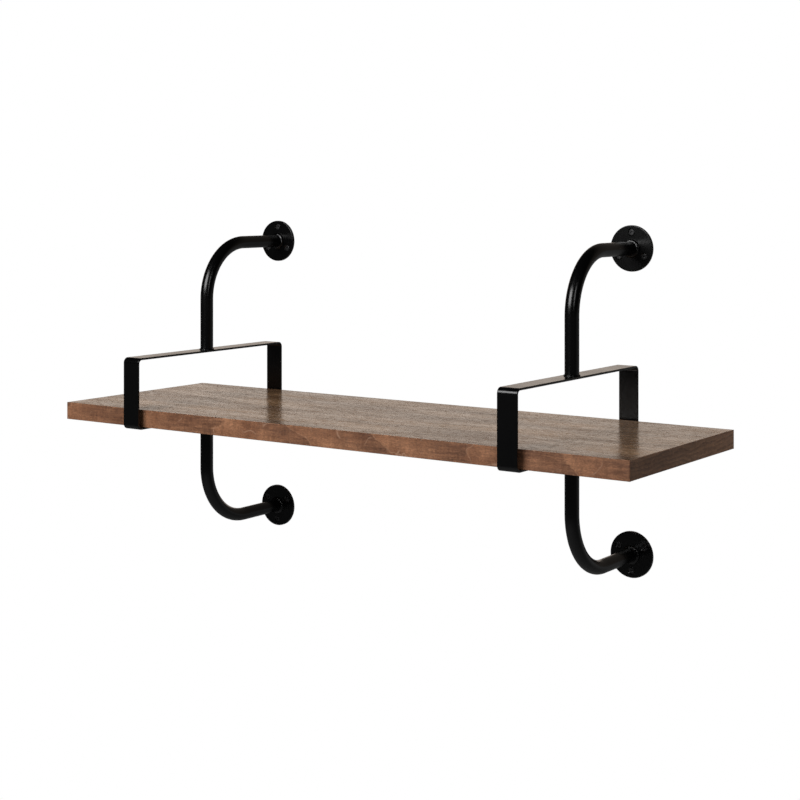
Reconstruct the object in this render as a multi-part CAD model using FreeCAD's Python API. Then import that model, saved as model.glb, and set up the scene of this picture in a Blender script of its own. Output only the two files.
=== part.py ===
import FreeCAD, Part
import math
import os

# Wall shelf: a veneered board carried by two steel brackets.
# +X runs along the board to the right, +Y points into the wall, +Z is up.
# The origin lies on the wall, midway between the brackets and midway between
# the upper and the lower wall flanges. All lengths are in millimetres.

# Board
board_length = 970.0
board_depth = 314.0
board_thickness = 26.0
board_shift = 8.5             # the board's middle lies this far right of the brackets' middle
veneer_thickness = 0.7        # top and bottom face veneers
band_thickness = 1.2          # strips glued on the four edges
band_arris = 0.4              # broken outer corners of the strips

# Flat bar bent into a closed hoop round the board
bracket_inset = 157.5         # from each end of the board to the middle of a bracket, but for the shift
strap_width = 30.0
strap_thickness = 3.0
strap_edge_round = 0.5
hoop_height = 107.0           # over both bars
hoop_inner_radius = 5.0
board_side_gap = 10.0         # from each long edge of the board to the upright beside it

# Bent tubes from the hoop to the wall
tube_diameter = 20.0
tube_wall = 1.5
tube_bend_radius = 88.0       # to the tube's axis
arm_rise = 167.0              # from a bar of the hoop to the axis of the arm that meets the wall
wall_gap = 10.0               # from the hoop's rear upright to the wall

# Wall flanges
flange_diameter = 67.0
flange_thickness = 4.0
flange_rim_round = 1.0
screws_per_flange = 3

# Fillet welds
flange_weld_leg = 4.0
bar_weld_leg = 1.8
weld_bulge_share = 0.15       # of the leg: how far the face of a weld stands out from a flat one

# Countersunk wall screws
wall_screw_thread = 4.5       # over the thread, which starts behind the flange
wall_screw_neck = 4.0         # plain, under the head
wall_screw_head = 8.4
wall_screw_length = 50.0
wall_screw_point = 6.0
wall_screw_rim = 0.3          # straight rim above the cone of the head
wall_screw_sink = 1.0         # the head lies this far below the face of the flange
wall_socket_width = 3.0       # across the flats
wall_socket_depth = 1.6
screw_hole_clearance = 0.25   # round a shank, in steel

# Pan-head screws from below, through the hoop into the board
board_screw_shank = 4.0
board_screw_head = 8.0
board_screw_head_height = 2.6
board_screw_point = 4.0
board_screw_inset = 50.0      # from each long edge of the board
board_socket_width = 2.5
board_socket_depth = 1.5
wood_over_screw = 9.0         # left above the tip of the screw
pilot_clearance = 0.1         # round a shank, in wood

# How far a cutting tool runs past the face that it cuts
overrun = 1.0

# Sizes that follow
bracket_spacing = board_length - 2 * bracket_inset
hoop_depth = board_depth + 2 * (board_side_gap + strap_thickness)
hoop_outer_radius = hoop_inner_radius + strap_thickness
hoop_y = -(wall_gap + hoop_depth / 2)
bar_top = hoop_height / 2
arm_height = bar_top + arm_rise
board_bottom = -bar_top + strap_thickness
board_top = board_bottom + board_thickness
board_front = hoop_y - board_depth / 2
board_back = hoop_y + board_depth / 2
board_left = board_shift - board_length / 2
board_right = board_shift + board_length / 2
tube_radius = tube_diameter / 2
flange_radius = flange_diameter / 2
flat_face_inner_radius = tube_radius + flange_weld_leg
flat_face_outer_radius = flange_radius - flange_rim_round
screw_circle_radius = (flat_face_inner_radius + flat_face_outer_radius) / 2
board_screw_ys = (board_front + board_screw_inset, board_back - board_screw_inset)
board_screw_length = strap_thickness + board_thickness - wood_over_screw

sides = (("left", -1), ("right", 1))
ends = (("upper", 1), ("lower", -1))

along_x = FreeCAD.Vector(1, 0, 0)
along_z = FreeCAD.Vector(0, 0, 1)
origin = FreeCAD.Vector(0, 0, 0)


def block(x_from, x_to, y_from, y_to, z_from, z_to):
    """A box between two values on each axis."""
    corner = FreeCAD.Vector(x_from, y_from, z_from)
    return Part.makeBox(x_to - x_from, y_to - y_from, z_to - z_from, corner)


def edges_where(shape, test):
    """The edges of a shape whose two end points both pass a test."""
    return [edge for edge in shape.Edges if all(test(vertex.Point) for vertex in edge.Vertexes)]


def runs_along_x(edge):
    """Whether an edge is a line along X."""
    first, last = edge.Vertexes[0].Point, edge.Vertexes[-1].Point
    return abs((last - first).normalize().dot(along_x)) > math.cos(math.radians(1))


def turned(profile):
    """A solid turned about Z from a profile of (radius, height) points.
    A point given as ("arc", middle, end) makes a round stretch."""
    def place(point):
        return FreeCAD.Vector(point[0], 0, point[1])
    edges = []
    here = place(profile[0])
    for point in profile[1:] + profile[:1]:
        if point[0] == "arc":
            there = place(point[2])
            edges.append(Part.Arc(here, place(point[1]), there).toShape())
        else:
            there = place(point)
            edges.append(Part.makeLine(here, there))
        here = there
    return Part.Face(Part.Wire(edges)).revolve(origin, along_z, 360)


def hexagon_prism(width, depth):
    """A hexagonal prism from Z = 0 down, given across its flats."""
    corner_radius = width / 2 / math.cos(math.radians(30))
    corners = [
        FreeCAD.Vector(corner_radius * math.cos(math.radians(60 * turn)),
                       corner_radius * math.sin(math.radians(60 * turn)), 0)
        for turn in range(7)
    ]
    return Part.Face(Part.makePolygon(corners)).extrude(along_z * -depth)


def facing_room(shape, x, y, z):
    """Turns a shape modelled along Z so that its top faces the room, and places it."""
    shape = shape.copy()
    shape.rotate(origin, along_x, 90)
    shape.translate(FreeCAD.Vector(x, y, z))
    return shape


def flange_screw_places(end):
    """The screw circle of a flange as (x, z) offsets. One screw points away from the board."""
    start = 90 * end
    angles = [math.radians(start + 360 * turn / screws_per_flange) for turn in range(screws_per_flange)]
    return [(screw_circle_radius * math.cos(angle), screw_circle_radius * math.sin(angle)) for angle in angles]


def board_screw_bodies(radius, tip_height):
    """Cylinders about the axes of all the board's screws, from below the hoop up to a height."""
    bottom = -bar_top - overrun
    bodies = []
    for _, side in sides:
        for y in board_screw_ys:
            foot = FreeCAD.Vector(side * bracket_spacing / 2, y, bottom)
            bodies.append(Part.makeCylinder(radius, tip_height - bottom, foot))
    return bodies


def board_core():
    pilot_top = -bar_top + board_screw_length
    core = block(board_left + band_thickness, board_right - band_thickness,
                 board_front + band_thickness, board_back - band_thickness,
                 board_bottom + veneer_thickness, board_top - veneer_thickness)
    return core.cut(board_screw_bodies(board_screw_shank / 2 + pilot_clearance, pilot_top))


def face_veneer(z_from, z_to):
    """One face veneer, which lies between the edge strips."""
    sheet = block(board_left + band_thickness, board_right - band_thickness,
                  board_front + band_thickness, board_back - band_thickness, z_from, z_to)
    return sheet.cut(board_screw_bodies(board_screw_shank / 2 + pilot_clearance,
                                        board_bottom + veneer_thickness))


def long_band(y_outer, inward):
    """The strip on a long edge. It covers the ends of the two short strips."""
    y_inner = y_outer + inward * band_thickness
    strip = block(board_left, board_right, min(y_outer, y_inner), max(y_outer, y_inner),
                  board_bottom, board_top)
    outer = edges_where(strip, lambda point: abs(point.y - y_outer) < band_arris)
    return strip.makeChamfer(band_arris, outer)


def short_band(x_outer, inward):
    """The strip on a short edge, between the two long ones."""
    x_inner = x_outer + inward * band_thickness
    strip = block(min(x_outer, x_inner), max(x_outer, x_inner),
                  board_front + band_thickness, board_back - band_thickness,
                  board_bottom, board_top)
    outer = [
        edge for edge in edges_where(strip, lambda point: abs(point.x - x_outer) < band_arris)
        if abs(edge.Vertexes[0].Z - edge.Vertexes[-1].Z) < band_arris
    ]
    return strip.makeChamfer(band_arris, outer)


def rounded_ring_part(depth, height, width, radius):
    """A slab across a bracket, centred on the hoop, with its four long edges rounded."""
    slab = block(-width / 2, width / 2, hoop_y - depth / 2, hoop_y + depth / 2, -height / 2, height / 2)
    return slab.makeFillet(radius, [edge for edge in slab.Edges if runs_along_x(edge)])


def hoop(x):
    """The closed hoop of flat bar, with softened edges and two screw holes in its lower bar."""
    outside = rounded_ring_part(hoop_depth, hoop_height, strap_width, hoop_outer_radius)
    inside = rounded_ring_part(hoop_depth - 2 * strap_thickness, hoop_height - 2 * strap_thickness,
                               strap_width + 2 * overrun, hoop_inner_radius)
    ring = outside.cut(inside)
    rims = [edge for edge in ring.Edges if not runs_along_x(edge)]
    ring = ring.makeFillet(strap_edge_round, rims)
    ring.translate(FreeCAD.Vector(x, 0, 0))
    return ring.cut(board_screw_bodies(board_screw_shank / 2 + screw_hole_clearance, board_bottom + overrun))


def tube_body(x, end, radius, extra):
    """A solid bent rod from a bar of the hoop to the flange, longer by extra at both ends."""
    foot = FreeCAD.Vector(x, hoop_y, end * (bar_top - extra))
    bend_start = FreeCAD.Vector(x, hoop_y, end * (arm_height - tube_bend_radius))
    bend_end = FreeCAD.Vector(x, hoop_y + tube_bend_radius, end * arm_height)
    mouth = FreeCAD.Vector(x, -flange_thickness + extra, end * arm_height)
    to_middle = tube_bend_radius * (1 - math.cos(math.radians(45)))
    bend_middle = FreeCAD.Vector(x, hoop_y + to_middle, end * (arm_height - to_middle))
    path = Part.Wire([
        Part.makeLine(foot, bend_start),
        Part.Arc(bend_start, bend_middle, bend_end).toShape(),
        Part.makeLine(bend_end, mouth),
    ])
    section = Part.Wire(Part.makeCircle(radius, foot, along_z))
    return path.makePipeShell([section], True, False)


def tube(x, end):
    """The bent tube, open at both ends."""
    return tube_body(x, end, tube_radius, 0).cut(tube_body(x, end, tube_radius - tube_wall, overrun))


def flange(x, end):
    """The round wall plate with its countersunk holes."""
    round_middle = flange_rim_round * (1 - math.cos(math.radians(45)))
    plate = turned([
        (0, 0),
        (flange_radius, 0),
        (flange_radius, flange_thickness - flange_rim_round),
        ("arc", (flange_radius - round_middle, flange_thickness - round_middle),
         (flange_radius - flange_rim_round, flange_thickness)),
        (0, flange_thickness),
    ])
    hole_radius = wall_screw_thread / 2 + screw_hole_clearance
    seat_radius = wall_screw_head / 2 + wall_screw_sink + wall_screw_rim
    drill = turned([
        (0, -overrun),
        (hole_radius, -overrun),
        (hole_radius, flange_thickness - (seat_radius - hole_radius)),
        (seat_radius + overrun, flange_thickness + overrun),
        (0, flange_thickness + overrun),
    ])
    plate = facing_room(plate, x, 0, end * arm_height)
    drills = [facing_room(drill, x + dx, 0, end * arm_height + dz) for dx, dz in flange_screw_places(end)]
    return plate.cut(drills)


def weld_ring(leg):
    """A fillet weld round the tube, on a plate at Z = 0, with a slightly full face."""
    full_face = leg / 2 + leg * weld_bulge_share * math.cos(math.radians(45))
    return turned([
        (tube_radius, 0),
        (tube_radius + leg, 0),
        ("arc", (tube_radius + full_face, full_face), (tube_radius, leg)),
    ])


def bar_weld(x, end):
    """The weld between a tube and the bar of the hoop."""
    ring = weld_ring(bar_weld_leg)
    if end < 0:
        ring.rotate(origin, along_x, 180)
    ring.translate(FreeCAD.Vector(x, hoop_y, end * bar_top))
    return ring


def wall_screw():
    """A countersunk screw, its head facing up, with Z = 0 at the back of the flange."""
    head_radius = wall_screw_head / 2
    neck_radius = wall_screw_neck / 2
    thread_radius = wall_screw_thread / 2
    top = flange_thickness - wall_screw_sink
    cone_top = top - wall_screw_rim
    cone_bottom = cone_top - (head_radius - neck_radius)
    thread_start = min(0, cone_bottom)
    tip = top - wall_screw_length
    body = turned([
        (0, top),
        (head_radius, top),
        (head_radius, cone_top),
        (neck_radius, cone_bottom),
        (neck_radius, thread_start),
        (thread_radius, thread_start),
        (thread_radius, tip + wall_screw_point),
        (0, tip),
    ])
    socket = hexagon_prism(wall_socket_width, wall_socket_depth)
    socket.translate(along_z * top)
    return body.cut(socket)


def wall_screws(x, end):
    """The screws of one flange."""
    screw = wall_screw()
    return Part.makeCompound([
        facing_room(screw, x + dx, 0, end * arm_height + dz) for dx, dz in flange_screw_places(end)
    ])


def board_screw():
    """A pan-head screw pointing up, with the underside of its head at Z = 0."""
    head_radius = board_screw_head / 2
    shank_radius = board_screw_shank / 2
    shoulder = board_screw_head_height / 2
    crown_radius = (head_radius ** 2 + shoulder ** 2) / (2 * shoulder)
    half_way = head_radius / 2
    crown_fall = crown_radius - math.sqrt(crown_radius ** 2 - half_way ** 2)
    body = turned([
        (0, board_screw_length),
        (shank_radius, board_screw_length - board_screw_point),
        (shank_radius, 0),
        (head_radius, 0),
        (head_radius, -shoulder),
        ("arc", (half_way, -board_screw_head_height + crown_fall), (0, -board_screw_head_height)),
    ])
    socket = hexagon_prism(board_socket_width, board_socket_depth)
    socket.translate(along_z * (board_socket_depth - board_screw_head_height))
    return body.cut(socket)


def board_screws(x):
    """The two screws that hold the board in one hoop."""
    screws = []
    for y in board_screw_ys:
        screw = board_screw()
        screw.translate(FreeCAD.Vector(x, y, -bar_top))
        screws.append(screw)
    return Part.makeCompound(screws)


def make_board():
    return {
        "board_core": board_core(),
        "board_top_veneer": face_veneer(board_top - veneer_thickness, board_top),
        "board_bottom_veneer": face_veneer(board_bottom, board_bottom + veneer_thickness),
        "board_front_band": long_band(board_front, 1),
        "board_back_band": long_band(board_back, -1),
        "board_left_band": short_band(board_left, 1),
        "board_right_band": short_band(board_right, -1),
    }


def make_bracket(side_name, side):
    x = side * bracket_spacing / 2
    nodes = {side_name + "_hoop": hoop(x)}
    for end_name, end in ends:
        start = side_name + "_" + end_name + "_"
        nodes[start + "tube"] = tube(x, end)
        nodes[start + "flange"] = flange(x, end)
        nodes[start + "flange_weld"] = facing_room(weld_ring(flange_weld_leg), x, -flange_thickness,
                                                   end * arm_height)
        nodes[start + "bar_weld"] = bar_weld(x, end)
        nodes[start + "wall_screws"] = wall_screws(x, end)
    nodes[side_name + "_board_screws"] = board_screws(x)
    return nodes


nodes = make_board()
for side_name, side in sides:
    nodes.update(make_bracket(side_name, side))

os.makedirs("parts", exist_ok=True)
for name, shape in nodes.items():
    shape.exportStep(os.path.join("parts", name + ".step"))
    print(name, len(shape.Solids), shape.isValid(), round(shape.Volume))
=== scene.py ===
import math

import bmesh
import bpy
import numpy as np
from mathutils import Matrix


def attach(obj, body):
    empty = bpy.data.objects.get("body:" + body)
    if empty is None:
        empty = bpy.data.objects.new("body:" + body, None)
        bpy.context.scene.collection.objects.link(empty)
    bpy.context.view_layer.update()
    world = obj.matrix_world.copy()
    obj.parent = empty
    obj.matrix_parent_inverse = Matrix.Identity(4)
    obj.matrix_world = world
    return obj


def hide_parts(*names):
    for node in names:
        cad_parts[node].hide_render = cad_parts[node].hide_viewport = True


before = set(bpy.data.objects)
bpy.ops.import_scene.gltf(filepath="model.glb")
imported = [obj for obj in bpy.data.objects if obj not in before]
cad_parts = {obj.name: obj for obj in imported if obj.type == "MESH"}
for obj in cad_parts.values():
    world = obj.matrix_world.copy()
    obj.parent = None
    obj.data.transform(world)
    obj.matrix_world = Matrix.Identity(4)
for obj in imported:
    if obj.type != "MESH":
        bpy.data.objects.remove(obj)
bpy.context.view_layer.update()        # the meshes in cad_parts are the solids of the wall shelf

mm = 0.001
fullTurn = 2 * math.pi
quarterTurn = math.pi / 2
white = (1.0, 1.0, 1.0, 1.0)

# Where the parts of a bracket stand, in mm: X along the board, Y into the wall, Z up.
bracket = {
    "halfSpacing": 327.5,      # from the middle between the brackets to each of them
    "hoopMiddleY": -180.0,
    "hoopTopZ": 53.5,          # outer face of the top bar, and of the bottom bar below zero
    "armZ": 220.5,             # axis of the arms that meet the wall
    "flangeFaceY": -4.0,
}
sides = {"left": -1, "right": 1}
ends = {"upper": 1, "lower": -1}

meshing = {
    "mergeDistance": 1e-7,     # in metres, below which two points become one
    "largestGuard": 0.3,       # largest share of a straight run between its end and its guard point
}


# The four-sided faces of a grid of points: each joins a point, its right neighbour and the two below
# them. The columns close on themselves, and so do the rows where closeRows asks for it.
def gridFaces(rows, columns, closeRows):
    row, column = np.meshgrid(np.arange(rows if closeRows else rows - 1), np.arange(columns), indexing="ij")
    nextRow, nextColumn = (row + 1) % rows, (column + 1) % columns
    corners = (row * columns + column, row * columns + nextColumn,
               nextRow * columns + nextColumn, nextRow * columns + column)
    return np.stack(corners, axis=-1).reshape(-1, 4)


# Makes one object of one or more grids, given in mm. Points that fall together, as at a pole or where two
# grids meet, are merged.
def makePiece(name, grids, material, closeRows=True, sharpAngle=35):
    points, faces, first = [], [], 0
    for grid in grids:
        rows, columns = grid.shape[:2]
        points.append(grid.reshape(-1, 3) * mm)
        faces.append(gridFaces(rows, columns, closeRows) + first)
        first += rows * columns
    mesh = bpy.data.meshes.new(name)
    mesh.from_pydata(np.concatenate(points).tolist(), [], np.concatenate(faces).tolist())
    shell = bmesh.new()
    shell.from_mesh(mesh)
    bmesh.ops.remove_doubles(shell, verts=shell.verts, dist=meshing["mergeDistance"])
    bmesh.ops.recalc_face_normals(shell, faces=shell.faces)
    shell.to_mesh(mesh)
    shell.free()
    mesh.shade_smooth()
    mesh.set_sharp_from_angle(angle=math.radians(sharpAngle))
    mesh.materials.append(material)
    piece = bpy.data.objects.new(name, mesh)
    bpy.context.scene.collection.objects.link(piece)
    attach(piece, "root")
    return piece


# Three numbers on a straight run: one close to each end, so that smooth shading stays on the round parts
# beside the run, and one halfway.
def guardedRun(start, stop, guard):
    share = min(guard / abs(stop - start), meshing["largestGuard"])
    return start + (stop - start) * np.array([share, 0.5, 1 - share])


def newMaterial(name):
    material = bpy.data.materials.new(name)
    material.use_nodes = True
    material.node_tree.nodes.clear()
    return material, material.node_tree


# Adds a shader node. A socket is linked where it is given an output, and set where it is given a value.
def addNode(tree, kind, sockets, **settings):
    made = tree.nodes.new("ShaderNode" + kind)
    for key, value in settings.items():
        setattr(made, key, value)
    for key, value in sockets.items():
        if isinstance(value, bpy.types.NodeSocket):
            tree.links.new(value, made.inputs[key])
        else:
            made.inputs[key].default_value = value
    return made.outputs


def calc(tree, operation, first, second=0.0):
    return addNode(tree, "Math", {0: first, 1: second}, operation=operation)[0]


# Carries a value from one range to another, with an eased or a straight course.
def remap(tree, value, fromRange, toRange, course="SMOOTHSTEP"):
    sockets = {"Value": value, "From Min": fromRange[0], "From Max": fromRange[1],
               "To Min": toRange[0], "To Max": toRange[1]}
    return addNode(tree, "MapRange", sockets, interpolation_type=course)[0]


# Noise from 0 to 1 on coordinates that are first scaled by a number for each axis, and then shifted.
def noise(tree, place, scale, detail, roughness, shift=(0.0, 0.0, 0.0)):
    stretched = addNode(tree, "Mapping", {"Vector": place, "Scale": scale, "Location": shift})[0]
    sockets = {"Vector": stretched, "Scale": 1.0, "Detail": detail, "Roughness": roughness}
    return addNode(tree, "TexNoise", sockets)[0]


# How far a noise lies above its middle value, or below it.
def offMiddle(tree, value):
    return calc(tree, "SUBTRACT", value, 0.5)


# Blends two colours, which the Mix node takes at sockets 6 and 7 and gives at output 2.
def blendColor(tree, share, first, second):
    return addNode(tree, "Mix", {0: share, 6: first, 7: second}, data_type="RGBA")[2]


def finishMaterial(tree, sockets, height, bumpDepth):
    sockets["Normal"] = addNode(tree, "Bump", {"Height": height, "Distance": bumpDepth, "Strength": 1.0})[0]
    shader = addNode(tree, "BsdfPrincipled", sockets)
    addNode(tree, "OutputMaterial", {"Surface": shader[0]})


# Detail and roughness of each of the walnut's patterns.
walnutNoise = {
    "warp": (2.0, 0.55), "swirl": (3.0, 0.6), "blotch": (3.0, 0.55), "streak": (3.0, 0.6),
    "fibre": (2.0, 0.6), "mottle": (3.0, 0.85), "ripple": (1.0, 0.5), "pore": (1.0, 0.5),
    "vein": (2.0, 0.5), "sheen": (3.0, 0.7),
}


# Walnut under a satin lacquer. Rings about a pith line are cut by the face, which gives the bands and
# flames. Blotches, streaks, fibres, mottling, a faint cross ripple, pores and veins go with them.
def walnutMaterial(name, look):
    material, tree = newMaterial(name)
    place = addNode(tree, "TexCoord", {})["Object"]
    grain = addNode(tree, "Mapping", {"Vector": place, "Rotation": (0.0, 0.0, look["turn"])})[0]

    def pattern(kind, shift=(0.0, 0.0, 0.0)):
        return noise(tree, grain, look[kind + "Scale"], *walnutNoise[kind], shift)

    # rings: the length of the way to the pith, warped by slow noise; each darkens slowly and fades fast
    pithSockets = {"Vector": grain, "Location": look["pith"], "Scale": look["pithScale"]}
    toPith = addNode(tree, "Mapping", pithSockets)[0]
    distance = addNode(tree, "VectorMath", {0: toPith}, operation="LENGTH")["Value"]
    for kind in ("warp", "swirl"):
        reach = calc(tree, "MULTIPLY", offMiddle(tree, pattern(kind, look["seed"])), look[kind + "Reach"])
        distance = calc(tree, "ADD", distance, reach)
    ring = calc(tree, "FRACT", calc(tree, "MULTIPLY", distance, look["ringsPerMetre"]))
    turning = look["ringTurn"]
    lateWood = calc(tree, "MULTIPLY", remap(tree, ring, (look["ringStart"], turning), (0.0, 1.0)),
                    remap(tree, ring, (turning, 1.0), (1.0, 0.0)))

    # colour: blotches from paler to redder wood, darkened by the rings, whose depth the streaks vary
    tones = {kind: pattern(kind) for kind in ("streak", "fibre", "mottle", "ripple")}
    blotches = pattern("blotch", look["seed"])
    pores = remap(tree, pattern("pore"), look["poreRange"], (0.0, 1.0))
    color = blendColor(tree, remap(tree, blotches, look["blotchRange"], (0.0, 1.0)),
                       look["palerWood"], look["redderWood"])
    ringDepth = remap(tree, tones["streak"], look["streakRange"], look["ringDepth"])
    color = blendColor(tree, calc(tree, "MULTIPLY", lateWood, ringDepth), color, look["lateWood"])
    for kind, tone in tones.items():
        depth = look[kind + "Depth"]
        brightness = remap(tree, tone, look["toneRange"], (1.0 - depth, 1.0 + depth), "LINEAR")
        color = addNode(tree, "VectorMath", {0: color, 3: brightness}, operation="SCALE")[0]
    color = blendColor(tree, calc(tree, "MULTIPLY", pores, look["poreDepth"]), color, look["poreColor"])

    # veins: thin lines where a noise has its middle value, here and there, and along the rings' sharp ends
    offVein = calc(tree, "ABSOLUTE", offMiddle(tree, pattern("vein", look["seed"])))
    veins = calc(tree, "MULTIPLY", remap(tree, offVein, (0.0, look["veinWidth"]), (1.0, 0.0)),
                 remap(tree, blotches, look["veinPatches"], (0.0, look["veinDepth"])))
    ringEdges = calc(tree, "MULTIPLY", remap(tree, ring, look["edgeRange"], (0.0, look["edgeDepth"])),
                     remap(tree, blotches, look["edgePatches"], (look["edgeLeast"], 1.0)))
    color = blendColor(tree, calc(tree, "MAXIMUM", veins, ringEdges), color, look["veinColor"])

    # the lacquer dips a little over the pores and follows the fibres, and is duller on flecks and pores
    height = calc(tree, "SUBTRACT", calc(tree, "MULTIPLY", tones["fibre"], look["fibreHeight"]), pores)
    roughness = remap(tree, pattern("sheen"), look["sheenRange"], look["roughness"], "LINEAR")
    flecks = remap(tree, tones["mottle"], look["fleckRange"], (0.0, look["fleckRoughness"]))
    roughness = calc(tree, "ADD", calc(tree, "ADD", roughness, flecks),
                     calc(tree, "MULTIPLY", pores, look["poreRoughness"]))
    finishMaterial(tree, {"Base Color": color, "Roughness": roughness, "Specular IOR Level": look["gloss"]},
                   height, look["bumpDepth"])
    return material


# Straight, greyish face veneer. A Scale is a noise's repeats per metre along the grain, across it and
# into the board. A Range, or Patches, says between which values of a noise or a ring something sets in.
veneerLook = {
    "turn": 0.0, "seed": (2.6, 6.1, 5.5),
    "pith": (0.0, 0.29, 0.16), "pithScale": (0.06, 1.0, 1.0), "ringsPerMetre": 95.0,
    "warpScale": (2.2, 7.0, 7.0), "warpReach": 0.020, "swirlScale": (9.0, 60.0, 60.0), "swirlReach": 0.003,
    "ringDepth": (0.38, 0.38), "ringStart": 0.05, "ringTurn": 0.93,
    "toneRange": (0.25, 0.75),
    "streakScale": (9.0, 170.0, 170.0), "streakRange": (0.35, 0.65), "streakDepth": 0.30,
    "fibreScale": (45.0, 1500.0, 1500.0), "fibreDepth": 0.10,
    "mottleScale": (110.0, 175.0, 175.0), "mottleDepth": 0.48,
    "rippleScale": (40.0, 6.0, 6.0), "rippleDepth": 0.03,
    "blotchScale": (2.5, 17.0, 17.0), "blotchRange": (0.3, 0.7),
    "poreScale": (110.0, 2100.0, 2100.0), "poreRange": (0.60, 0.72), "poreDepth": 0.75,
    "veinScale": (6.0, 40.0, 40.0), "veinWidth": 0.006, "veinDepth": 0.25, "veinPatches": (0.5, 0.62),
    "edgeRange": (0.984, 0.994), "edgeDepth": 0.0, "edgeLeast": 0.25, "edgePatches": (0.40, 0.52),
    "palerWood": (0.385, 0.225, 0.120, 1.0), "redderWood": (0.150, 0.078, 0.039, 1.0),
    "lateWood": (0.125, 0.068, 0.036, 1.0), "veinColor": (0.125, 0.068, 0.036, 1.0),
    "poreColor": (0.050, 0.028, 0.017, 1.0),
    "gloss": 0.5, "roughness": (0.14, 0.26), "sheenScale": (7.0, 40.0, 40.0), "sheenRange": (0.3, 0.7),
    "fleckRange": (0.50, 0.62), "fleckRoughness": 0.11, "poreRoughness": 0.12,
    "bumpDepth": 0.00005, "fibreHeight": 0.35,
}

# Flamed, redder strip of the long edges. Its pith lies far off to one side and below, so that wide rings
# cross the strip on the slant: each darkens slowly and ends at a sharp edge. Across the grain is Z here.
longBandLook = dict(
    veneerLook, seed=(0.4, 2.2, 0.3),
    pith=(3.036, 0.0, 2.0), pithScale=(1.0, 0.0, 1.0), ringsPerMetre=8.06,
    warpScale=(7.0, 12.0, 14.0), warpReach=0.22, swirlScale=(40.0, 60.0, 60.0), swirlReach=0.030,
    ringDepth=(0.85, 0.40), ringTurn=0.94,
    streakScale=(30.0, 420.0, 420.0), streakDepth=0.12,
    fibreScale=(60.0, 1600.0, 1600.0), fibreDepth=0.12,
    mottleScale=(340.0, 520.0, 620.0), mottleDepth=0.50,
    rippleScale=(260.0, 40.0, 40.0), rippleDepth=0.12,
    blotchScale=(20.0, 30.0, 34.0),
    poreScale=(130.0, 3000.0, 3000.0), poreDepth=0.55,
    veinScale=(15.0, 30.0, 14.0), veinWidth=0.011, veinDepth=0.7, edgeDepth=0.6,
    palerWood=(0.480, 0.228, 0.120, 1.0), redderWood=(0.290, 0.126, 0.064, 1.0),
    lateWood=(0.170, 0.076, 0.042, 1.0), veinColor=(0.580, 0.340, 0.220, 1.0),
    poreColor=(0.045, 0.024, 0.015, 1.0),
    roughness=(0.38, 0.48), fleckRoughness=0.05,
)

# The strips of the short edges have their grain along Y.
shortBandLook = dict(
    longBandLook, turn=math.radians(90), seed=(5.0, 1.2, 0.8),
    pith=(0.0, 0.0, 0.095), pithScale=(0.05, 0.02, 1.0), ringsPerMetre=150.0,
    warpScale=(10.0, 14.0, 22.0), warpReach=0.030, swirlReach=0.010, ringDepth=(0.55, 0.35), ringTurn=0.85,
    blotchScale=(3.0, 14.0, 20.0), veinScale=(22.0, 50.0, 50.0),
    palerWood=(0.400, 0.222, 0.128, 1.0), redderWood=(0.160, 0.076, 0.039, 1.0),
    lateWood=(0.105, 0.045, 0.025, 1.0),
)

# Paler wood of the core, which the veneers and strips cover.
coreLook = dict(
    veneerLook, seed=(8.0, 0.1, 4.0),
    palerWood=(0.52, 0.40, 0.27, 1.0), redderWood=(0.46, 0.33, 0.21, 1.0),
    lateWood=(0.36, 0.25, 0.15, 1.0), poreColor=(0.22, 0.14, 0.08, 1.0),
)

# Satin black powder coat: a fine, shallow orange peel whose crests get a painted highlight that makes them
# a little paler, and uneven gloss.
powderCoat = {
    "color": (0.0012, 0.0012, 0.0013, 1.0), "crestHighlightFactor": 1.9, "crestHighlightRange": (0.35, 0.75),
    "peelScale": (1100.0,) * 3, "peelDepth": 0.000006,
    "gloss": 0.5, "roughness": (0.20, 0.24), "patchScale": (30.0,) * 3, "patchRange": (0.3, 0.7),
}

# The coat runs thicker and glossier over the welds.
weldPowderCoat = dict(powderCoat, roughness=(0.11, 0.15))


def powderCoatMaterial(name, look):
    material, tree = newMaterial(name)
    place = addNode(tree, "TexCoord", {})["Object"]
    peel = noise(tree, place, look["peelScale"], detail=2.0, roughness=0.5)
    patches = noise(tree, place, look["patchScale"], detail=3.0, roughness=0.6)
    roughness = remap(tree, patches, look["patchRange"], look["roughness"], "LINEAR")
    # painted highlight: the colour turns paler where the peel's bump rises to a crest
    crest = tuple(look["crestHighlightFactor"] * part for part in look["color"][:3]) + (1.0,)
    color = blendColor(tree, remap(tree, peel, look["crestHighlightRange"], (0.0, 1.0)), look["color"], crest)
    finishMaterial(tree, {"Base Color": color, "Roughness": roughness, "Specular IOR Level": look["gloss"]},
                   peel, look["peelDepth"])
    return material


# Black-plated screw steel, with paler metal showing through in specks.
screwSteel = {
    "color": (0.040, 0.040, 0.041, 1.0), "bareColor": (0.17, 0.17, 0.17, 1.0), "metallic": 0.4,
    "speckScale": (1400.0,) * 3, "speckRange": (0.66, 0.80), "bumpDepth": 0.00001,
    "roughness": (0.28, 0.40), "sheenRange": (0.3, 0.7),
}


def screwSteelMaterial(name, look):
    material, tree = newMaterial(name)
    place = addNode(tree, "TexCoord", {})["Object"]
    specks = noise(tree, place, look["speckScale"], detail=3.0, roughness=0.6)
    bare = remap(tree, specks, look["speckRange"], (0.0, 1.0))
    color = blendColor(tree, bare, look["color"], look["bareColor"])
    roughness = remap(tree, specks, look["sheenRange"], look["roughness"], "LINEAR")
    finishMaterial(tree, {"Base Color": color, "Roughness": roughness, "Metallic": look["metallic"]},
                   specks, look["bumpDepth"])
    return material


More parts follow.
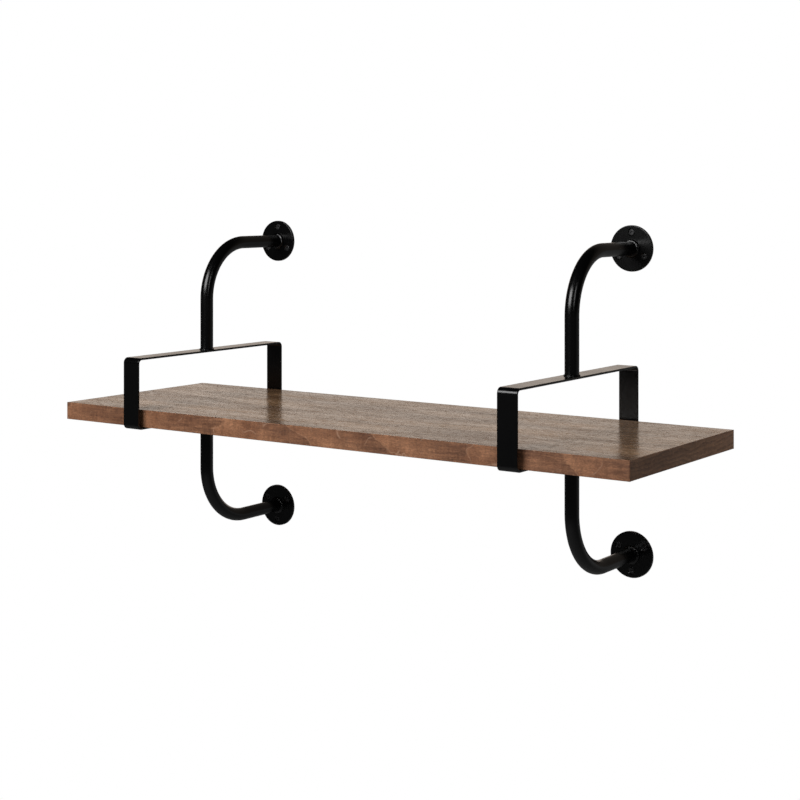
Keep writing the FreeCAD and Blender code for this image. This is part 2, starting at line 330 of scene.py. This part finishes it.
walnutFace = walnutMaterial("walnut_face_veneer_finish", veneerLook)
walnutLongBand = walnutMaterial("walnut_long_band_finish", longBandLook)
walnutShortBand = walnutMaterial("walnut_short_band_finish", shortBandLook)
coreFinish = walnutMaterial("core_board_finish", coreLook)
blackCoat = powderCoatMaterial("black_powder_coat_finish", powderCoat)
weldCoat = powderCoatMaterial("black_powder_coat_on_weld_finish", weldPowderCoat)
blackScrew = screwSteelMaterial("black_screw_finish", screwSteel)
print("materials made")


# The board's solids stay as they are, and only get their finish.
boardFinish = {
    "board_core": coreFinish,
    "board_top_veneer": walnutFace, "board_bottom_veneer": walnutFace,
    "board_front_band": walnutLongBand, "board_back_band": walnutLongBand,
    "board_left_band": walnutShortBand, "board_right_band": walnutShortBand,
}
for nodeName, material in boardFinish.items():
    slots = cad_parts[nodeName].data.materials
    for index in range(len(slots)):
        slots[index] = material
print("board finished")


# The sizes of the pieces from here on are in mm.
hoopShape = {
    "depth": 340.0, "height": 107.0, "width": 30.0, "thickness": 3.0,
    "outerRadius": 8.0, "edgeRound": 0.6, "cornerSteps": 20, "edgeSteps": 5, "guard": 0.6,
}


# A rounded rectangle as a list of points and outward directions. Each corner is a quarter circle about
# its own middle, and each side between two corners has a few points of its own.
def roundedRectangle(halfWidth, halfHeight, radius, steps, guard):
    points, outward = [], []
    quarter = np.linspace(0.0, quarterTurn, steps + 1)
    middles = ((1, 1), (-1, 1), (-1, -1), (1, -1))
    for turn, (signX, signY) in enumerate(middles):
        angle = quarter + turn * quarterTurn
        direction = np.stack((np.cos(angle), np.sin(angle)), axis=-1)
        middle = np.array((signX * (halfWidth - radius), signY * (halfHeight - radius)))
        points.append(middle + radius * direction)
        outward.append(direction)
        nextX, nextY = middles[(turn + 1) % len(middles)]
        following = np.array((nextX * (halfWidth - radius), nextY * (halfHeight - radius)))
        side = guardedRun(0.0, 1.0, guard / np.linalg.norm(following - middle))[:, None]
        points.append(middle + radius * direction[-1] + side * (following - middle))
        outward.append(np.repeat(direction[-1:], len(side), axis=0))
    return np.concatenate(points), np.concatenate(outward)


# The bar's rounded section is carried round the hoop: a point is the loop's point, plus the section's depth
# along the loop's outward direction, plus the section's width along X.
def hoopGrid(x, shape):
    half = shape["thickness"] / 2
    path, outward = roundedRectangle(shape["depth"] / 2 - half, shape["height"] / 2 - half,
                                     shape["outerRadius"] - half, shape["cornerSteps"], shape["guard"])
    section, _ = roundedRectangle(shape["width"] / 2, half, shape["edgeRound"], shape["edgeSteps"],
                                  shape["guard"])
    across = path[:, None, :] + section[None, :, 1:] * outward[:, None, :]
    along = np.broadcast_to(x + section[None, :, 0], across.shape[:2])
    return np.stack((along, across[..., 0] + bracket["hoopMiddleY"], across[..., 1]), axis=-1)


for sideName, side in sides.items():
    hoopName = sideName + "_hoop"
    hoop = makePiece(hoopName + "_bar", [hoopGrid(side * bracket["halfSpacing"], hoopShape)],
                     blackCoat)
    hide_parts(hoopName)
print("hoops made")


tubeShape = {"radius": 10.0, "wall": 1.5, "bendRadius": 88.0, "bendSteps": 72, "around": 96, "guard": 1.5}


# The tube's axis is a straight stretch, a quarter circle and a straight stretch. A circle is carried
# along it, outside from the hoop to the wall and inside on the way back, so the grid closes on itself.
def tubeGrid(x, end, shape):
    radius = shape["bendRadius"]
    bendZ, bendY = bracket["armZ"] - radius, bracket["hoopMiddleY"] + radius
    turn = np.linspace(0.0, quarterTurn, shape["bendSteps"] + 1)
    riseRun = np.concatenate(([bracket["hoopTopZ"]],
                              guardedRun(bracket["hoopTopZ"], bendZ, shape["guard"])))
    armRun = np.concatenate((guardedRun(bendY, bracket["flangeFaceY"], shape["guard"]),
                             [bracket["flangeFaceY"]]))
    axisY = np.concatenate((np.full(len(riseRun), bracket["hoopMiddleY"]),
                            bendY - radius * np.cos(turn), armRun))
    axisZ = np.concatenate((riseRun, bendZ + radius * np.sin(turn), np.full(len(armRun), bracket["armZ"])))
    lean = np.concatenate((np.zeros(len(riseRun)), turn, np.full(len(armRun), quarterTurn)))
    around = np.linspace(0.0, fullTurn, shape["around"], endpoint=False)

    def skin(size):
        out = size * np.cos(around)
        pointX = np.broadcast_to(x + size * np.sin(around), (len(lean), len(around)))
        pointY = axisY[:, None] - out * np.cos(lean)[:, None]
        pointZ = axisZ[:, None] + out * np.sin(lean)[:, None]
        return np.stack((pointX, pointY, pointZ * end), axis=-1)

    return np.concatenate((skin(shape["radius"]), skin(shape["radius"] - shape["wall"])[::-1]))


for sideName, side in sides.items():
    for endName, end in ends.items():
        tubeName = sideName + "_" + endName + "_tube"
        tube = makePiece(tubeName + "_bend", [tubeGrid(side * bracket["halfSpacing"], end, tubeShape)],
                         blackCoat)
        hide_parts(tubeName)
print("tubes made")


plateShape = {
    "radius": 33.5, "thickness": 4.0, "rimRound": 1.0, "roundSteps": 8, "rimSteps": 64, "radiusSteps": 14,
    "holes": 3, "holeCircleRadius": 23.25, "holeRadius": 2.5, "coneRadius": 5.5,
    "faceShares": (0.06, 0.5, 0.94, 1.0),      # where the face has rows, from a hole's edge to the outline
    "rimShare": 0.9,                           # where the rim's straight part has one more row
}


# The outline of the part of a plate that belongs to one hole, which lies on the first axis: out along one
# radius, along the rim, and back along the other radius to just before the plate's middle.
def plateOutline(radius, shape):
    half = math.pi / shape["holes"]
    outward = np.linspace(0.0, radius, shape["radiusSteps"], endpoint=False)
    rim = np.linspace(-half, half, shape["rimSteps"] + 1)
    distance = np.concatenate((outward, np.full(len(rim), radius), outward[:0:-1]))
    angle = np.concatenate((np.full(len(outward), -half), rim, np.full(len(outward) - 1, half)))
    return distance * np.cos(angle), distance * np.sin(angle)


# A round plate with countersunk holes. Each hole has a grid that runs from the back outline to the hole,
# up its wall and its cone, and over the face to the front outline. One more grid carries the rim's
# profile round.
def plateGrids(x, end, shape):
    frontRadius = shape["radius"] - shape["rimRound"]
    frontX, frontZ = plateOutline(frontRadius, shape)
    backX, backZ = plateOutline(shape["radius"], shape)
    toOutline = np.arctan2(frontZ, frontX - shape["holeCircleRadius"])
    circleX, circleZ = np.cos(toOutline), np.sin(toOutline)
    coneFoot = shape["thickness"] - (shape["coneRadius"] - shape["holeRadius"])
    rowsX, rowsZ, heights = [backX], [backZ], [0.0]
    for radius, height in ((shape["holeRadius"], 0.0), (shape["holeRadius"], coneFoot),
                           (shape["coneRadius"], shape["thickness"])):
        rowsX.append(shape["holeCircleRadius"] + radius * circleX)
        rowsZ.append(radius * circleZ)
        heights.append(height)
    coneX, coneZ = rowsX[-1], rowsZ[-1]
    for share in shape["faceShares"]:
        rowsX.append(coneX + share * (frontX - coneX))
        rowsZ.append(coneZ + share * (frontZ - coneZ))
        heights.append(shape["thickness"])
    localX, localZ = np.stack(rowsX), np.stack(rowsZ)
    depth = np.broadcast_to(-np.array(heights)[:, None], localX.shape)
    middleZ = end * bracket["armZ"]
    grids = []
    for index in range(shape["holes"]):
        turn = end * quarterTurn + fullTurn * index / shape["holes"]
        turnedX = localX * math.cos(turn) - localZ * math.sin(turn)
        turnedZ = localX * math.sin(turn) + localZ * math.cos(turn)
        grids.append(np.stack((x + turnedX, depth, middleZ + turnedZ), axis=-1))

    lean = np.linspace(0.0, quarterTurn, shape["roundSteps"] + 1)
    rimRadius = np.append(frontRadius + shape["rimRound"] * np.sin(lean),
                          [shape["radius"], shape["radius"]])
    straight = shape["thickness"] - shape["rimRound"]
    rimHeight = np.append(straight + shape["rimRound"] * np.cos(lean), [shape["rimShare"] * straight, 0.0])
    columns = shape["holes"] * shape["rimSteps"]
    around = end * quarterTurn + math.pi / shape["holes"] + fullTurn * np.arange(columns) / columns
    depth = np.broadcast_to(-rimHeight[:, None], (len(rimHeight), columns))
    grids.append(np.stack((x + rimRadius[:, None] * np.cos(around), depth,
                           middleZ + rimRadius[:, None] * np.sin(around)), axis=-1))
    return grids


for sideName, side in sides.items():
    for endName, end in ends.items():
        plateName = sideName + "_" + endName + "_flange"
        plate = makePiece(plateName + "_plate", plateGrids(side * bracket["halfSpacing"], end, plateShape),
                          blackCoat, closeRows=False)
        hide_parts(plateName)
print("wall plates made")


weldShape = {
    "flangeLeg": 4.0, "barLeg": 1.8, "bulgeShare": 0.28, "bulgePower": 0.8, "sunk": 0.15,
    "around": 528, "profileSteps": 14, "sharpAngle": 60,
    "rippleWidth": 3.2, "rippleDepth": 0.35,
    "rippleBase": 0.6,                         # how much of a ripple lies below the bulge
    "crestCurve": 0.55,                        # how far a crest curves back at the toes, in ripples
    "drift": 0.35, "driftWaves": 5,            # how far the ripples drift round the tube, and how often
    "sway": 0.25, "legSway": 0.5,
    "swayWaves": ((3, 1.0, 1.0), (7, 0.6, 2.3), (13, 0.4, 4.1)),      # count, share and seed's factor
    "seedOfSide": 1.7, "seedOfEnd": 0.9, "seedOfBar": 2,
}


# A fillet round the tube: a straight slant between two toes, lifted off by a bulge, which is a power of
# half a sine wave, and by overlapping ripples as of a hand-laid bead, which are half ellipses. The
# ripples' crests curve back towards the toes. Both legs sway a little from place to place.
def weldGrid(leg, shape, seed):
    around = np.linspace(0.0, fullTurn, shape["around"], endpoint=False)[None, :]
    step = np.linspace(0.0, 1.0, shape["profileSteps"] + 1)[:, None]
    sway = shape["sway"] * sum(share * np.sin(waves * around + factor * seed)
                               for waves, share, factor in shape["swayWaves"])
    reach = leg - shape["sway"] + sway * shape["legSway"]
    fullness = np.sin(math.pi * step) ** shape["bulgePower"]
    ripples = round(fullTurn * (tubeShape["radius"] + leg) / shape["rippleWidth"])
    phase = (around / fullTurn * ripples + shape["crestCurve"] * (2 * step - 1) ** 2
             + shape["drift"] * np.sin(shape["driftWaves"] * around)) % 1
    arch = np.sqrt(np.clip(1 - (2 * phase - 1) ** 2, 0, 1))
    ripple = shape["rippleDepth"] * fullness * (arch - shape["rippleBase"])
    lift = (shape["bulgeShare"] * leg * fullness + ripple) * math.sqrt(0.5)      # outward and up alike
    out = reach * (1 - step) + lift
    up = reach * step + lift
    foot, inner = np.full_like(out[:1], -shape["sunk"]), np.full_like(up[:1], -shape["sunk"])
    out = np.concatenate((out[:1], out, inner, inner))
    up = np.concatenate((foot, up, up[-1:], foot))
    radius = tubeShape["radius"] + out
    return radius * np.cos(around), radius * np.sin(around), up


for sideName, side in sides.items():
    x = side * bracket["halfSpacing"]
    for endName, end in ends.items():
        start = sideName + "_" + endName
        seed = weldShape["seedOfSide"] * side + weldShape["seedOfEnd"] * end
        ringX, ringZ, ringUp = weldGrid(weldShape["flangeLeg"], weldShape, seed)
        grid = np.stack((x + ringX, bracket["flangeFaceY"] - ringUp, ringZ + end * bracket["armZ"]),
                        axis=-1)
        weld = makePiece(start + "_flange_bead", [grid], weldCoat,
                         sharpAngle=weldShape["sharpAngle"])
        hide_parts(start + "_flange_weld")
        ringX, ringY, ringUp = weldGrid(weldShape["barLeg"], weldShape, seed + weldShape["seedOfBar"])
        grid = np.stack((x + ringX, ringY + bracket["hoopMiddleY"], end * (bracket["hoopTopZ"] + ringUp)),
                        axis=-1)
        weld = makePiece(start + "_bar_bead", [grid], weldCoat,
                         sharpAngle=weldShape["sharpAngle"])
        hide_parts(start + "_bar_weld")
print("welds made")


# What both kinds of screw share: the form of the socket's floor and rim, the ridge, the point and the grid.
anyScrew = {
    "socketFloorShare": 0.96, "socketRim": 0.12, "ridgeShare": 0.3, "pointPower": 0.75,
    "rowsPerTurn": 12, "around": 48, "sharpAngle": 40,
}
wallScrew = dict(
    anyScrew, circleRadius=23.25, count=3, sunk=1.0,
    headRadius=4.2, headRim=0.3, headRound=0.7, headSteps=7, faceInset=0.1,
    neckRadius=2.0, coreRadius=1.5, crestRadius=2.25, pitch=2.2, threadTop=-0.2,
    length=50.0, pointLength=6.0,
    socketWidth=3.0, socketDepth=1.6, socketCone=0.5,
    spins=(1.3, 1.0, 0.6),      # how far the heads are turned, in radians, per screw, side and end
)
boardScrew = dict(
    anyScrew, fromLongEdge=50.0,
    headRadius=4.0, headHeight=2.6, headSteps=10, domeStart=0.25, rimShare=0.35,
    neckRadius=2.0, coreRadius=1.35, crestRadius=2.0, pitch=1.8, threadTop=-3.0,
    length=20.0, pointLength=4.0,
    socketWidth=2.5, socketDepth=1.5, socketCone=0.4,
)
boardPlace = {"frontY": -337.0, "backY": -23.0}


# A screw about its own axis, from the middle of its socket to its tip. Rows are radii at heights. The
# socket's rows are hexagons: the half width across the flats over the cosine of the angle to the nearest
# flat. In the threaded rows a narrow ridge winds round: its phase is the height over the pitch less the
# share of a turn.
def screwGrid(screw, headRows):
    around = np.linspace(0.0, fullTurn, screw["around"], endpoint=False)
    sixth = fullTurn / 6
    hexagon = screw["socketWidth"] / 2 / np.cos((around + sixth / 2) % sixth - sixth / 2)
    circle = np.ones_like(around)
    topHeight = headRows[0][1]
    floor = topHeight - screw["socketDepth"]
    rim = screw["socketRim"]
    radii = [0 * circle, hexagon * screw["socketFloorShare"], hexagon, hexagon + rim]
    heights = [floor - screw["socketCone"], floor, topHeight - rim, topHeight]
    for radius, height in headRows:
        radii.append(radius * circle)
        heights.append(height)
    threadTop = screw["threadTop"]
    tip = topHeight - screw["length"]
    turns = (threadTop - tip) / screw["pitch"]
    threadHeights = np.linspace(threadTop, tip, int(turns * screw["rowsPerTurn"]))
    phase = (threadHeights[:, None] / screw["pitch"] - around[None, :] / fullTurn) % 1
    ridge = np.clip(1 - np.abs(phase - 0.5) / screw["ridgeShare"], 0, 1)
    fade = np.clip((threadTop - threadHeights) / screw["pitch"], 0, 1)[:, None]
    taper = np.clip((threadHeights - tip) / screw["pointLength"], 0, 1)[:, None] ** screw["pointPower"]
    coreRadius = screw["coreRadius"] + (screw["neckRadius"] - screw["coreRadius"]) * (1 - fade)
    thread = taper * (coreRadius + (screw["crestRadius"] - coreRadius) * ridge * fade)
    radii = np.concatenate((np.stack(radii), thread))
    heights = np.concatenate((heights, threadHeights))[:, None]
    return radii * np.cos(around), radii * np.sin(around), np.broadcast_to(heights, radii.shape)


# Head rows of the countersunk wall screw: a flat face, a quarter ellipse down to the rim's foot and a
# cone down to the neck.
def wallScrewHead(screw):
    top = -bracket["flangeFaceY"] - screw["sunk"]
    coneTop = top - screw["headRim"]
    coneBottom = coneTop - (screw["headRadius"] - screw["neckRadius"])
    soft = screw["headRound"]
    lean = np.linspace(0.0, quarterTurn, screw["headSteps"])
    rows = [(screw["headRadius"] - soft * (1 - math.sin(angle)),
             coneTop + screw["headRim"] * math.cos(angle)) for angle in lean]
    face = (screw["headRadius"] - soft - screw["faceInset"], top)
    return [face] + rows + [(screw["neckRadius"], coneBottom)]


# Head rows of the pan-head screw: a dome, which is the outer part of a quarter ellipse, over a straight
# rim, and the flat underside.
def boardScrewHead(screw):
    lean = np.linspace(screw["domeStart"], 1.0, screw["headSteps"]) * quarterTurn
    dome = screw["headHeight"] * (1 - screw["rimShare"])
    rows = [(screw["headRadius"] * math.sin(angle),
             screw["headHeight"] + dome * (math.cos(angle) - math.cos(lean[0]))) for angle in lean]
    return rows + [(screw["headRadius"], 0.0), (screw["neckRadius"], 0.0)]


for sideName, side in sides.items():
    x = side * bracket["halfSpacing"]
    for endName, end in ends.items():
        grids = []
        for index in range(wallScrew["count"]):
            angle = end * quarterTurn + fullTurn * index / wallScrew["count"]
            middleX = x + wallScrew["circleRadius"] * math.cos(angle)
            middleZ = end * bracket["armZ"] + wallScrew["circleRadius"] * math.sin(angle)
            out, over, height = screwGrid(wallScrew, wallScrewHead(wallScrew))
            spin = np.dot(wallScrew["spins"], (index, side, end))
            turnedX = out * math.cos(spin) - over * math.sin(spin)
            turnedZ = out * math.sin(spin) + over * math.cos(spin)
            grids.append(np.stack((middleX + turnedX, -height, middleZ + turnedZ), axis=-1))
        nodeName = sideName + "_" + endName + "_wall_screws"
        screws = makePiece(nodeName + "_cut", grids, blackScrew, closeRows=False,
                           sharpAngle=wallScrew["sharpAngle"])
        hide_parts(nodeName)
    grids = []
    for y in (boardPlace["frontY"] + boardScrew["fromLongEdge"],
              boardPlace["backY"] - boardScrew["fromLongEdge"]):
        out, over, height = screwGrid(boardScrew, boardScrewHead(boardScrew))
        grids.append(np.stack((x + out, y + over, -bracket["hoopTopZ"] - height), axis=-1))
    nodeName = sideName + "_board_screws"
    screws = makePiece(nodeName + "_cut", grids, blackScrew, closeRows=False,
                       sharpAngle=boardScrew["sharpAngle"])
    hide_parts(nodeName)
print("screws made")


# The room's light. "ambient" lights the faces themselves. Mirrored rays see a warm white sheet low down
# behind the shelf on the left, a dim wall round it and next to nothing in front. The ranges and ends are
# parts of a ray's direction.
room = {
    "ambient": 0.12, "sheet": 0.96, "wall": 0.12, "front": 0.006, "color": (1.0, 0.865, 0.755, 1.0),
    "sheetRange": (0.2, 0.7), "wallRange": (0.5, 0.8),
    "sheetEnds": (("X", -0.10, 0.15), ("Z", 0.14, 0.26), ("Z", 0.05, 0.0)),      # to the right, up and down
}
floorLook = {
    "height": -1.2, "size": 60.0, "color": (0.35, 0.35, 0.35, 1.0),
    "glow": (0.86, 1.0), "glowRange": (1.8, 4.0),      # to the camera, from near the shelf to far off
    "mirroredRange": (0.0, 4.0),                       # Y over which it turns from the front to the wall
}
wallLook = {"width": 6.0, "top": 2.4, "y": 0.0002}


# The sheet fades to the room in front, to the right, upwards and at the horizon.
def mirroredLight(tree, direction):
    parts = addNode(tree, "SeparateXYZ", {"Vector": direction})
    sheet = remap(tree, parts["Y"], room["sheetRange"], (0.0, room["sheet"]))
    for axis, near, far in room["sheetEnds"]:
        sheet = calc(tree, "MULTIPLY", sheet, remap(tree, parts[axis], (near, far), (1.0, 0.0)))
    wall = remap(tree, parts["Y"], room["wallRange"], (room["front"], room["wall"]))
    return calc(tree, "MAXIMUM", sheet, wall)


# 1 for rays that come off a glossy face or through a clear one.
def mirroredRays(tree, rays):
    return calc(tree, "MAXIMUM", rays["Is Glossy Ray"], rays["Is Transmission Ray"])


def makeWorld():
    world = bpy.data.worlds.new("studio")
    bpy.context.scene.world = world
    world.use_nodes = True
    tree = world.node_tree
    tree.nodes.clear()
    rays = addNode(tree, "LightPath", {})
    direction = addNode(tree, "TexCoord", {})["Generated"]
    seen = mirroredRays(tree, rays)
    unseen = calc(tree, "MULTIPLY", calc(tree, "SUBTRACT", 1.0, seen), room["ambient"])
    mirroredPart = calc(tree, "MULTIPLY", seen, mirroredLight(tree, direction))
    strength = calc(tree, "MAXIMUM", rays["Is Camera Ray"], calc(tree, "ADD", unseen, mirroredPart))
    color = blendColor(tree, seen, white, room["color"])
    background = addNode(tree, "Background", {"Color": color, "Strength": strength})
    addNode(tree, "OutputWorld", {"Surface": background[0]})


# Ends a material that shows its shader from the front and is clear from behind.
def finishOneSided(tree, shader):
    back = addNode(tree, "NewGeometry", {})["Backfacing"]
    clear = addNode(tree, "BsdfTransparent", {})
    oneSided = addNode(tree, "MixShader", {0: back, 1: shader, 2: clear[0]})
    addNode(tree, "OutputMaterial", {"Surface": oneSided[0]})


def makePlane(name, corners, material):
    mesh = bpy.data.meshes.new(name)
    mesh.from_pydata(corners, [], [(0, 1, 2, 3)])
    mesh.materials.append(material)
    plane = bpy.data.objects.new(name, mesh)
    bpy.context.scene.collection.objects.link(plane)
    return plane


# A pale floor that takes the shelf's shadow. To the camera it glows up to white, more so far off, where
# no lamp lights it. To mirrored rays it is as dim as the wall behind the shelf and the room in front of
# it. It is clear from below.
def makeFloor():
    material, tree = newMaterial("pale_floor")
    rays = addNode(tree, "LightPath", {})
    place = addNode(tree, "TexCoord", {})["Object"]
    parts = addNode(tree, "SeparateXYZ", {"Vector": place})
    mirroredGlow = remap(tree, parts["Y"], floorLook["mirroredRange"], (room["front"], room["wall"]))
    farOff = addNode(tree, "VectorMath", {0: place}, operation="LENGTH")["Value"]
    cameraGlow = remap(tree, farOff, floorLook["glowRange"], floorLook["glow"])
    strength = calc(tree, "ADD", calc(tree, "MULTIPLY", rays["Is Camera Ray"], cameraGlow),
                    calc(tree, "MULTIPLY", mirroredRays(tree, rays), mirroredGlow))
    paint = addNode(tree, "BsdfDiffuse", {"Color": floorLook["color"]})
    glow = addNode(tree, "Emission", {"Color": white, "Strength": strength})
    finishOneSided(tree, addNode(tree, "AddShader", {0: paint[0], 1: glow[0]})[0])
    half, z = floorLook["size"] / 2, floorLook["height"]
    corners = [(-half, -half, z), (half, -half, z), (half, half, z), (-half, half, z)]
    floor = makePlane("floor", corners, material)


# A plain white wall for the wall screws to go into. Only the camera sees it, from the room's side alone.
def makeWall():
    material, tree = newMaterial("white_wall")
    finishOneSided(tree, addNode(tree, "Emission", {"Color": white, "Strength": 1.0})[0])
    half, low, high, y = wallLook["width"] / 2, floorLook["height"], wallLook["top"], wallLook["y"]
    wall = makePlane("wall", [(-half, y, low), (half, y, low), (half, y, high), (-half, y, high)], material)
    wall.visible_diffuse = wall.visible_glossy = wall.visible_transmission = wall.visible_shadow = False


# Softboxes: where each stands and looks, in metres, its width and height, its power in watts, and whether
# smooth faces mirror it.
softboxes = {
    "key": {"place": (-0.45, -2.10, 1.15), "aim": (0.0, -0.25, 0.0), "size": (1.5, 1.0), "power": 34.0,
            "mirrored": True},
    "edge": {"place": (1.75, -1.25, 0.95), "aim": (0.3, -0.20, 0.15), "size": (0.30, 0.80), "power": 3.0,
             "mirrored": True},
    "top": {"place": (-0.50, 0.60, 1.55), "aim": (0.0, -0.18, 0.0), "size": (1.1, 0.8), "power": 3.6,
            "mirrored": False},
    "end": {"place": (0.74, 0.46, 0.14), "aim": (0.49, 0.0, -0.04), "size": (0.25, 0.25), "power": 1.25,
            "mirrored": False},
}


def makeSoftbox(name, box):
    lamp = bpy.data.lights.new(name, "AREA")
    lamp.shape = "RECTANGLE"
    lamp.size, lamp.size_y = box["size"]
    lamp.energy = box["power"]
    holder = bpy.data.objects.new(name, lamp)
    holder.location = box["place"]
    toAim = np.subtract(box["aim"], box["place"])
    flat = math.hypot(toAim[0], toAim[1])
    holder.rotation_euler = (math.atan2(flat, -toAim[2]), 0.0, math.atan2(toAim[1], toAim[0]) - quarterTurn)
    holder.visible_camera = False
    holder.visible_glossy = box["mirrored"]
    bpy.context.scene.collection.objects.link(holder)


# The camera stands level, so upright lines stay upright, as in the photograph. Its frame is shifted down
# to the shelf. The turn is in degrees, and the lens and the sensor are in mm.
cameraLook = {
    "place": (1.3940, -2.1200, 0.3003), "turn": 34.823,
    "lens": 73.32, "sensorWidth": 36.0, "shiftY": -0.2587,
}


def makeCamera():
    data = bpy.data.cameras.new("camera")
    data.lens = cameraLook["lens"]
    data.sensor_width = cameraLook["sensorWidth"]
    data.shift_y = cameraLook["shiftY"]
    camera = bpy.data.objects.new("camera", data)
    camera.location = cameraLook["place"]
    camera.rotation_euler = (quarterTurn, 0.0, math.radians(cameraLook["turn"]))
    bpy.context.scene.collection.objects.link(camera)
    bpy.context.scene.camera = camera


makeWorld()
makeFloor()
makeWall()
for boxName, box in softboxes.items():
    makeSoftbox(boxName, box)
makeCamera()
bpy.context.scene.view_settings.view_transform = "Standard"
print("floor, light and camera made")
